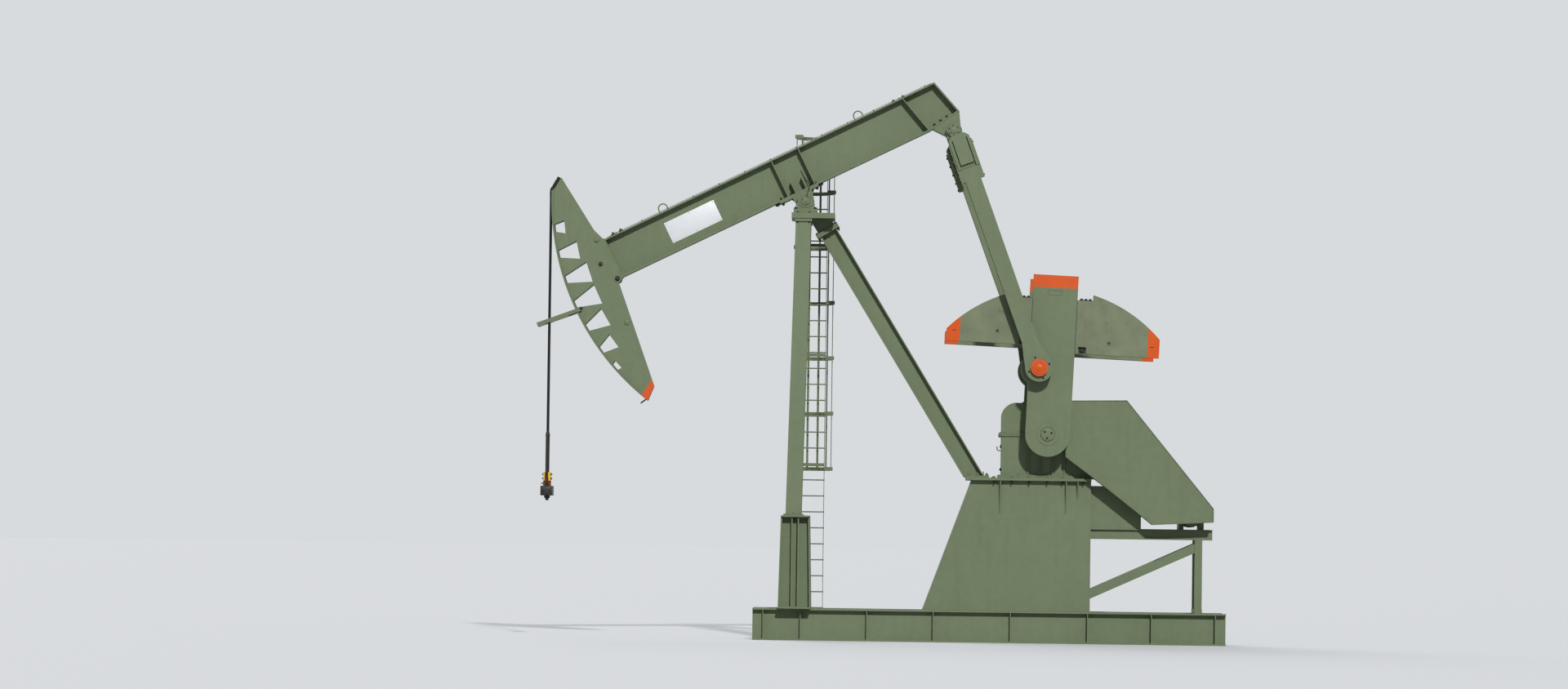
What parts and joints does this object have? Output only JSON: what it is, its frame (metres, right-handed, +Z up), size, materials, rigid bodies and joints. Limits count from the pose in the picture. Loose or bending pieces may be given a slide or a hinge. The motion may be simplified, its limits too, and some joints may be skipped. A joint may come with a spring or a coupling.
{
  "type": "beam pumping unit",
  "caption": "Beam pumping unit with a horsehead on a walking beam, a tripod post, crank arms with counterweights, pitmans, a gearbox with belt guard, and a rope hanger.",
  "frame": {"origin": "on the ground under the centre bearing, at the underside of the skid", "axes": "+X towards the gearbox, -X towards the well, +Y to the ladder side, +Z up"},
  "size_m": [13.0689, 3.2305, 10.5968],
  "materials": {
    "paint": "weathered sage green enamel, semi-matt",
    "weight_paint": "faded grey-green paint with rust streaks",
    "orange_paint": "bright safety orange enamel",
    "galvanised": "dull galvanised steel",
    "dark_steel": "dark oiled steel",
    "wire_rope": "greased wire rope",
    "white_plate": "white enamelled sheet",
    "red_paint": "red enamel",
    "yellow_paint": "yellow enamel",
    "black_rubber": "matt black"
  },
  "bodies": {
    "base": {"skid_rail_near": "paint", "skid_rail_far": "paint", "skid_crosses": "paint", "front_pedestal": "paint", "gear_pedestal": "paint", "motor_stand": "paint", "motor_rails": "paint", "motor": "paint", "leg_front_near": "paint", "leg_front_far": "paint", "leg_tie_low": "paint", "leg_tie_high": "paint", "leg_rear": "paint", "post_cap": "paint", "centre_bearings": "paint", "gearbox": "paint", "brake": "dark_steel", "belt_guard": "paint", "ladder": "galvanised", "ladder_brackets": "galvanised", "cage_panel_1": "galvanised", "cage_panel_2": "galvanised", "cage_panel_3": "galvanised", "cage_panel_4": "galvanised", "cage_panel_5": "galvanised", "cage_panel_6": "galvanised"},
    "beam": {"walking_beam": "paint", "saddle": "paint", "horsehead": "paint", "horsehead_face": "paint", "rope_keeper": "dark_steel", "tail_bearing": "paint", "lifting_eyes": "paint"},
    "pitmans": {"equalizer": "paint", "pitman_near": "paint", "pitman_far": "paint", "pitman_head_near": "paint", "pitman_head_far": "paint", "wrist_near": "orange_paint", "wrist_far": "orange_paint"},
    "cranks": {"crankshaft": "dark_steel", "crank_near": "paint", "crank_far": "paint", "weight_near_front": "weight_paint", "weight_near_rear": "weight_paint", "weight_far_front": "weight_paint", "weight_far_rear": "weight_paint"},
    "hanger": {"carrier_bar": "dark_steel", "bridle_ropes": "wire_rope", "rope_sockets": "dark_steel", "load_cell": "red_paint", "rod_clamp": "yellow_paint"}
  },
  "joints": [
    {"name": "crank_turn", "type": "hinge", "parent": "base", "child": "cranks", "pos_m": [4.6, 0, 3.93], "axis": [0, 1, 0], "range_deg": [0, 158]},
    {"name": "beam_rock", "type": "hinge", "parent": "base", "child": "beam", "pos_m": [0, 0, 8.3], "axis": [0, 1, 0], "range_deg": [0, 51.39]},
    {"name": "pitman_swing", "type": "hinge", "parent": "beam", "child": "pitmans", "pos_m": [2.7815, 0, 9.66867], "axis": [0, 1, 0], "range_deg": [-61.92, 0]},
    {"name": "hanger_lift", "type": "slide", "parent": "base", "child": "hanger", "axis": [0, 0, 1], "range_m": [0, 4.35], "deforming": ["bridle_ropes"]}
  ],
  "couplings": [
    {"joint": "beam_rock", "follows": "crank_turn", "ratio": 0.3252},
    {"joint": "pitman_swing", "follows": "crank_turn", "ratio": -0.39185},
    {"joint": "hanger_lift", "follows": "crank_turn", "m_per_rad": 1.5728}
  ]
}
